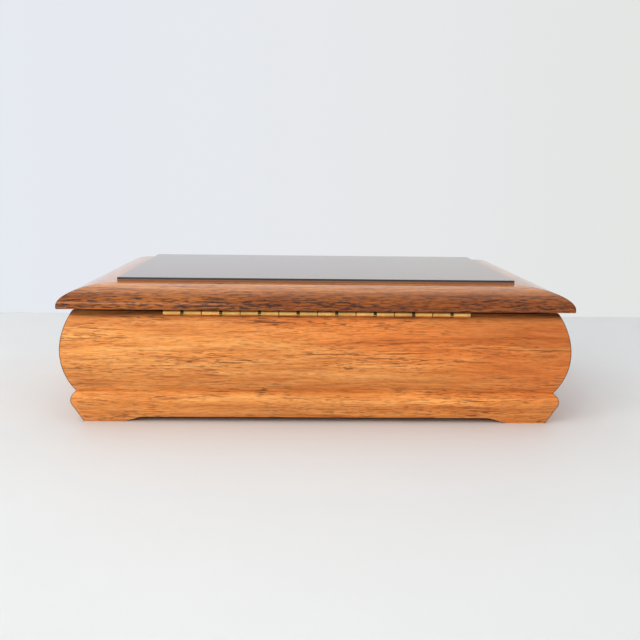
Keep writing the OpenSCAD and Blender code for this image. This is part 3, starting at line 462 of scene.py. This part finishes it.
def softened(piece, width, segments=2, angle=32):
    edge = piece.modifiers.new("softEdge", "BEVEL")
    edge.width = width
    edge.segments = segments
    edge.limit_method = "ANGLE"
    edge.angle_limit = math.radians(angle)
    edge.use_clamp_overlap = True
    edge.miter_outer = "MITER_ARC"
    even = piece.modifiers.new("evenShading", "WEIGHTED_NORMAL")  # flat faces stay flat beside rounded edges
    even.weight = 50
    even.keep_sharp = True
    return piece


def refine(node, name, material, body, slot, width, segments=2):
    mesh = toMesh(cleanCopy(node), name)
    return softened(place(mesh, name, material, body, slot, (node,)), width, segments)


def finish(node, material):
    nodes[node].data.materials.clear()
    nodes[node].data.materials.append(material)


# how far each kind of edge is rounded
caseWidths = {"board": 0.00045, "strip": 0.0005, "ledge": 0.0003, "bead": 0.0009, "rail": 0.0004, "panel": 0.0006}

for node, name, wood, body, slot, width in (
    ("front_board", "frontBoard", "woodFront", "case", "body_wood", "board"),
    ("rear_board", "rearBoard", "woodRear", "case", "body_wood", "board"),
    ("left_board", "leftBoard", "woodLeft", "case", "body_wood", "board"),
    ("right_board", "rightBoard", "woodRight", "case", "body_wood", "board"),
    ("long_divider", "longDivider", "woodInnerX", "case", "inner_wood", "strip"),
    ("short_divider", "shortDivider", "woodInnerY", "case", "inner_wood", "strip"),
    ("glass_ledges", "glassLedges", "woodInnerX", "case", "inner_wood", "ledge"),
    ("glazing_beads", "glazingBeads", "woodInnerX", "case", "inner_wood", "bead"),
    ("lid_front_rail", "lidFrontRail", "woodLidX", "lid", "lid_wood", "rail"),
    ("lid_rear_rail", "lidRearRail", "woodLidX", "lid", "lid_wood", "rail"),
    ("lid_left_rail", "lidLeftRail", "woodLidY", "lid", "lid_wood", "rail"),
    ("lid_right_rail", "lidRightRail", "woodLidY", "lid", "lid_wood", "rail"),
    ("lid_panel", "lidPanel", "woodPanel", "lid", "lid_wood", "panel"),
):
    refine(node, name, woods[wood], body, slot, caseWidths[width], 3 if width in ("bead", "panel") else 2)
for node in ("bottom_board", "corner_blocks", "lid_core"):
    finish(node, woods["woodPlain"])
print("case and lid made")

hingeWidths = {"leaf": 0.00018, "screw": 0.0001}
refine("hinge_lower_leaf", "hingeLowerLeaf", brassKnuckle, "case", "brass", hingeWidths["leaf"])
refine("hinge_upper_leaf", "hingeUpperLeaf", brassKnuckle, "lid", "brass", hingeWidths["leaf"])
refine("hinge_lower_screws", "hingeLowerScrews", brassPolished, "case", "brass", hingeWidths["screw"])
refine("hinge_upper_screws", "hingeUpperScrews", brassPolished, "lid", "brass", hingeWidths["screw"])
finish("hinge_pin", brassDark)
print("hinge made")

movementWidths = {"plate": 0.00025, "wheel": 0.00005, "screw": 0.00012, "spring": 0.00006}
for node, name, material, body, slot, width in (
    ("bedplate", "bedplateBrass", brassBrushed, "case", "brass", "plate"),
    ("comb_base", "combBase", brassBrushed, "case", "brass", "plate"),
    ("comb", "combSteel", steelComb, "case", "steel", "spring"),
    ("comb_weights", "combWeights", leadDull, "case", "lead", "spring"),
    ("comb_screws", "combScrews", steelBlued, "case", "blued_steel", "screw"),
    ("cylinder_brackets", "cylinderBrackets", brassPolished, "case", "brass", "plate"),
    ("barrel_bridge", "barrelBridge", brassPolished, "case", "brass", "plate"),
    ("bridge_pillars", "bridgePillars", brassPolished, "case", "brass", "plate"),
    ("bridge_screws", "bridgeScrews", steelBlued, "case", "blued_steel", "screw"),
    ("governor_frame", "governorFrame", brassPolished, "case", "brass", "plate"),
    ("plate_screws", "plateScrews", steelBlued, "case", "blued_steel", "screw"),
    ("click_spring", "clickSpring", steelGround, "case", "steel", "spring"),
    ("key_bush", "keyBush", brassPolished, "case", "brass", "plate"),
    ("stop_spring", "stopSpring", steelGround, "case", "steel", "spring"),
    ("drum_caps", "drumCaps", brassPolished, "cylinder", "brass", "plate"),
    ("cylinder_arbor", "cylinderArbor", steelGround, "cylinder", "steel", "wheel"),
    ("cylinder_gear", "cylinderGear", brassPolished, "cylinder", "brass", "wheel"),
    ("spring_barrel", "springBarrel", brassPolished, "barrel", "brass", "plate"),
    ("crown_wheel", "crownWheel", brassPolished, "barrel", "brass", "wheel"),
    ("winding_arbor", "windingArbor", steelGround, "winding", "steel", "wheel"),
    ("ratchet_wheel", "ratchetWheel", steelGround, "winding", "steel", "wheel"),
    ("winding_key", "windingKey", brassPolished, "winding", "brass", "plate"),
    ("click", "clickPawl", steelGround, "click_body", "steel", "spring"),
    ("transfer_arbor", "transferArbor", steelGround, "transfer", "steel", "wheel"),
    ("worm_wheel", "wormWheel", brassPolished, "transfer", "brass", "wheel"),
    ("fan", "fanBrass", brassPolished, "governor", "brass", "wheel"),
    ("stop_rod", "stopRod", brassPolished, "stop", "brass", "plate"),
):
    refine(node, name, material, body, slot, movementWidths[width], 1 if width == "wheel" else 2)
for node, material in (
    ("bedplate_spacers", brassBrushed),
    ("movement_screws", steelGround),
    ("mainspring", steelBlued),
    ("worm_arbor", steelGround),
    ("stop_pad", feltRed),
    ("glass_pane", clearGlass),
):
    finish(node, material)


# drum with its tune pins: rows of pins at the comb's pitch, lower than the gap to the tips
drumSet = {"rows": 36, "pitch": 0.0012, "places": 72, "wobble": 0.6, "least": 13, "most": 24, "seed": 11,
           "pinRadius": 0.00022, "pinTip": 0.8, "pinHeight": 0.0006, "rooted": 0.0001, "pinSides": 5}


def makeDrum():
    low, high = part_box("cylinder_drum")
    middle = (low + high) / 2
    radius = (high.z - low.z) / 2
    stand = Matrix.Translation((0, 0, radius + drumSet["pinHeight"] / 2 - drumSet["rooted"]))
    bm = cleanCopy("cylinder_drum")
    picker = random.Random(drumSet["seed"])
    for row in range(drumSet["rows"]):
        x = middle.x + (row - (drumSet["rows"] - 1) / 2) * drumSet["pitch"]
        count = picker.randint(drumSet["least"], drumSet["most"])
        for step in picker.sample(range(drumSet["places"]), count):
            angle = step * 360 / drumSet["places"] + picker.uniform(-drumSet["wobble"], drumSet["wobble"])
            out = Matrix.Rotation(math.radians(angle), 4, "X")
            bmesh.ops.create_cone(bm, cap_ends=True, segments=drumSet["pinSides"], depth=drumSet["pinHeight"],
                                  radius1=drumSet["pinRadius"], radius2=drumSet["pinRadius"] * drumSet["pinTip"],
                                  matrix=Matrix.Translation((x, middle.y, middle.z)) @ out @ stand)
    mesh = toMesh(bm, "cylinderDrum", sharpFrom=40)
    place(mesh, "cylinderDrum", brassBrushed, "cylinder", "brass", ("cylinder_drum",))


makeDrum()
print("movement made")


# velvet pads: a soft crown inside a piped edge, laid on the bottom of each compartment
padSet = {"low": 0.021, "top": 0.024, "pipe": 0.0018, "pipeRise": 0.0009, "tuck": 0.0008, "crown": 0.0013,
          "run": 0.010, "dimple": 0.0004, "dimples": 30, "cell": 0.010,
          "cuts": (0.0004, 0.0009, 0.0014, 0.0018, 0.0024, 0.0036, 0.0056, 0.009, 0.014, 0.021)}
bays = {"front": (-0.148, -0.093, 0.148, 0.003), "rear": (-0.012, 0.007, 0.148, 0.093)}
cardSet = {"thick": 0.0016, "top": 0.070, "round": 0.00065}


# height of the pad over its top at a distance inside its edge
def padSag(inside, x, y):
    if inside < padSet["pipe"]:
        half = 2 * inside / padSet["pipe"] - 1
        return padSet["pipeRise"] * math.sqrt(max(0.0, 1 - half ** 2)) - padSet["tuck"]
    swell = 1 - math.exp(-(inside - padSet["pipe"]) / padSet["run"])
    press = padSet["dimple"] * noiseValue(Vector((x * padSet["dimples"], y * padSet["dimples"], 0.7)))
    return (padSet["crown"] + padSet["tuck"] + press) * swell - padSet["tuck"]


def cutAcross(bm, places, axis):
    for spot in places:
        point, normal = Vector((0, 0, 0)), Vector((0, 0, 0))
        point[axis], normal[axis] = spot, 1
        bmesh.ops.bisect_plane(bm, geom=bm.verts[:] + bm.edges[:] + bm.faces[:], dist=1e-6, plane_co=point,
                               plane_no=normal)


def makePad(name, x0, y0, x1, y1):
    bm = bmesh.new()
    size = Vector((x1 - x0, y1 - y0, padSet["top"] - padSet["low"]))
    middle = Vector(((x0 + x1) / 2, (y0 + y1) / 2, (padSet["top"] + padSet["low"]) / 2))
    bmesh.ops.create_cube(bm, size=1, matrix=Matrix.Translation(middle) @ Matrix.Diagonal((*size, 1)))
    border = padSet["cuts"][-1]
    for axis, low, high in ((0, x0, x1), (1, y0, y1)):
        cutAcross(bm, [low + c for c in padSet["cuts"]] + [high - c for c in padSet["cuts"]], axis)
        field = high - low - 2 * border
        steps = int(field / padSet["cell"])
        cutAcross(bm, [low + border + field * k / steps for k in range(1, steps)], axis)
    for vert in bm.verts:
        if vert.co.z > middle.z:
            inside = min(vert.co.x - x0, x1 - vert.co.x, vert.co.y - y0, y1 - vert.co.y)
            vert.co.z += padSag(max(0.0, inside), vert.co.x, vert.co.y)
    pad = place(toMesh(bm, name), name, velvetRed, "case", "velvet")
    return pad


# covered cards along the four walls of a compartment
def makeCards(name, x0, y0, x1, y1):
    bm = bmesh.new()
    t, low, top = cardSet["thick"], padSet["low"], cardSet["top"]
    for ax, ay, bx, by in (
        (x0, y0, x1, y0 + t),
        (x0, y1 - t, x1, y1),
        (x0, y0 + t, x0 + t, y1 - t),
        (x1 - t, y0 + t, x1, y1 - t),
    ):
        spot = Matrix.Translation(((ax + bx) / 2, (ay + by) / 2, (low + top) / 2))
        bmesh.ops.create_cube(bm, size=1, matrix=spot @ Matrix.Diagonal((bx - ax, by - ay, top - low, 1)))
    return softened(place(toMesh(bm, name), name, velvetRed, "case", "velvet"), cardSet["round"], 3)


for bay, (x0, y0, x1, y1) in bays.items():
    t = cardSet["thick"]
    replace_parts(makePad(bay + "Pad", x0 + t, y0 + t, x1 - t, y1 - t), bay + "_bay_lining")
    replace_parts(makeCards(bay + "Cards", x0, y0, x1, y1), bay + "_bay_lining")


# lid lining: thin quilt sewn in diamonds, flat along its rim
quiltSet = {"halfX": 0.1515, "halfY": 0.0965, "low": 0.0772, "top": 0.079, "acrossX": 210, "acrossY": 134,
            "rim": 0.007, "rimFall": 0.0012, "hem": 0.0008, "diamond": 0.030, "sink": 0.0014,
            "seamWidth": 0.0050, "seamFall": 1.8, "seamPower": 1.3}


# how deep the quilt is drawn in at a place
def quiltSink(x, y):
    inside = min(quiltSet["halfX"] - abs(x), quiltSet["halfY"] - abs(y))
    if inside < 1e-5:
        return quiltSet["hem"]
    if inside <= quiltSet["rim"]:
        return 0.0
    wave = quiltSet["diamond"]
    one, other = (x + y) / wave, (x - y) / wave
    near = min(abs(one - round(one)), abs(other - round(other))) * wave * math.sqrt(0.5)
    seam = math.exp(-(near / quiltSet["seamWidth"] * quiltSet["seamFall"]) ** quiltSet["seamPower"])
    rim = math.exp(-(inside - quiltSet["rim"]) / quiltSet["rimFall"])
    return quiltSet["sink"] * max(seam, rim)


def makeQuilt():
    bm = bmesh.new()
    thick = quiltSet["top"] - quiltSet["low"]
    spread = Matrix.Diagonal((quiltSet["halfX"], quiltSet["halfY"], 1, 1))
    bmesh.ops.create_grid(bm, x_segments=quiltSet["acrossX"], y_segments=quiltSet["acrossY"], size=1,
                          matrix=Matrix.Translation((0, 0, quiltSet["top"])) @ spread)
    lower = bmesh.ops.extrude_face_region(bm, geom=bm.faces[:])
    for vert in (g for g in lower["geom"] if isinstance(g, bmesh.types.BMVert)):
        vert.co.z -= thick - quiltSink(vert.co.x, vert.co.y)
    bmesh.ops.recalc_face_normals(bm, faces=bm.faces)
    velvetQuiltShaded = clothMaterial("velvetQuiltShaded", **velvet, quilt=quiltSet)
    quilt = place(toMesh(bm, "lidQuilt", sharpFrom=60), "lidQuilt", velvetQuiltShaded, "lid", "velvet", ("lid_lining",))


makeQuilt()
print("linings made")


# room: pale floor and wall, soft light
roomSet = {"wallY": -0.33, "half": 2.6, "near": 2.2, "high": 2.4,
           "floorColour": (0.722, 0.730, 0.726), "floorRough": 0.6,
           "wallColour": (0.82, 0.85, 0.89), "wallRough": 0.8, "glowHalf": 0.6,
           "wallGlow": [(0.0, (0.761, 0.768, 0.738)), (0.5, (0.799, 0.815, 0.84)), (1.0, (0.783, 0.823, 0.905))],
           "cloud": (3.0, 4.4, 3.0), "cloudTone": 0.965}


def stageMaterial(name, colour, rough):
    mat, tree, bsdf = newMaterial(name, Roughness=rough, Specular_IOR_Level=0.25)
    cloud = noise(tree, stretched(tree, objectCoords(tree), roomSet["cloud"]), 4.0, 0.6)
    dim = tuple(c * roomSet["cloudTone"] for c in colour)
    tree.links.new(ramp(tree, cloud, [(0.3, dim), (0.65, colour)]), bsdf.inputs["Base Color"])
    return mat, tree, bsdf


def mixedShaders(tree, factor, first, second):
    both = addNode(tree, "ShaderNodeMixShader")
    for socket, value in zip(both.inputs, (factor, first, second)):
        tree.links.new(value, socket)
    return both.outputs[0]


def seenDirectly(tree):
    path = addNode(tree, "ShaderNodeLightPath")
    seen = mathNode(tree, "MAXIMUM", path.outputs["Is Camera Ray"], path.outputs["Is Glossy Ray"])
    return mathNode(tree, "MAXIMUM", seen, path.outputs["Is Transmission Ray"])


# floor and wall are seen from the front only, so the box can be looked at from below and behind
def frontOnly(tree, front):
    clear = addNode(tree, "ShaderNodeBsdfTransparent")
    backface = addNode(tree, "ShaderNodeNewGeometry").outputs["Backfacing"]
    shown = mixedShaders(tree, backface, front, clear.outputs[0])
    tree.links.new(shown, tree.nodes["Material Output"].inputs["Surface"])


def floorMaterial():
    mat, tree, bsdf = stageMaterial("paleStone", roomSet["floorColour"], roomSet["floorRough"])
    frontOnly(tree, bsdf.outputs[0])
    return mat


# the wall glows with a brightness of its own where it is seen or mirrored, painted light that does not change
# with the lamps and shifts a little in tint and brightness from side to side
def wallMaterial():
    mat, tree, bsdf = stageMaterial("paleWall", roomSet["wallColour"], roomSet["wallRough"])
    x = splitAxes(tree, objectCoords(tree))[0]
    glow = addNode(tree, "ShaderNodeEmission", Strength=1.0)
    shade = limits(tree, x, -roomSet["glowHalf"], roomSet["glowHalf"])
    tree.links.new(ramp(tree, shade, roomSet["wallGlow"]), glow.inputs["Color"])
    frontOnly(tree, mixedShaders(tree, seenDirectly(tree), bsdf.outputs[0], glow.outputs[0]))
    return mat


def makeRoom():
    half, near, high = roomSet["half"], roomSet["near"], roomSet["high"]
    upright = Matrix.Translation((0, roomSet["wallY"], high / 2)) @ Matrix.Rotation(math.radians(-90), 4, "X")
    for name, placed, material in (
        ("tableTop", Matrix.Diagonal((half, near, 1, 1)), floorMaterial()),
        ("backWall", upright @ Matrix.Diagonal((half, high / 2, 1, 1)), wallMaterial()),
    ):
        bm = bmesh.new()
        bmesh.ops.create_grid(bm, x_segments=1, y_segments=1, size=1, matrix=placed)
        obj = bpy.data.objects.new(name, toMesh(bm, name, smooth=False))
        scene.collection.objects.link(obj)
        obj.data.materials.append(material)


# only a mirrored lamp shows in polish and metal
lampSet = {
    "windowLamp": {"at": (1.15, 1.30, 1.0), "size": 1.5, "power": 21.0, "colour": (1.0, 0.985, 0.96),
                   "mirrored": False},
    "fillLamp": {"at": (-1.3, 1.3, 0.8), "size": 1.5, "power": 8.0, "colour": (1.0, 0.97, 0.93),
                 "mirrored": False},
    "ceilingLamp": {"at": (0.15, 0.05, 1.7), "size": 1.6, "power": 9.0, "colour": (1.0, 0.99, 0.98),
                    "mirrored": False},
    "glintLamp": {"at": (0.45, 1.5, 1.1), "size": 0.6, "power": 2.5, "colour": (1.0, 0.98, 0.95),
                  "mirrored": True},
}
lampAim = (0, 0, 0.05)
worldSet = {"colour": (0.93, 0.96, 1.0, 1), "strength": 0.42, "mirrored": 0.62}


def makeLamps():
    for name, lamp in lampSet.items():
        data = bpy.data.lights.new(name, "AREA")
        data.shape = "DISK"
        data.size = lamp["size"]
        data.energy = lamp["power"]
        data.color = lamp["colour"]
        obj = bpy.data.objects.new(name, data)
        scene.collection.objects.link(obj)
        obj.location = lamp["at"]
        obj.visible_glossy = lamp["mirrored"]
        obj.rotation_euler = (Vector(lampAim) - Vector(lamp["at"])).to_track_quat("-Z", "Y").to_euler()


def makeWorld():
    world = bpy.data.worlds.new("softRoom")
    scene.world = world
    world.use_nodes = True
    tree = world.node_tree
    back = tree.nodes["Background"]
    back.inputs["Color"].default_value = worldSet["colour"]
    glossy = addNode(tree, "ShaderNodeLightPath").outputs["Is Glossy Ray"]
    strength = limits(tree, glossy, 0.0, 1.0, worldSet["strength"], worldSet["mirrored"])
    tree.links.new(strength, back.inputs["Strength"])


makeRoom()
makeLamps()
makeWorld()
scene.view_settings.view_transform = "Standard"
print("room made")
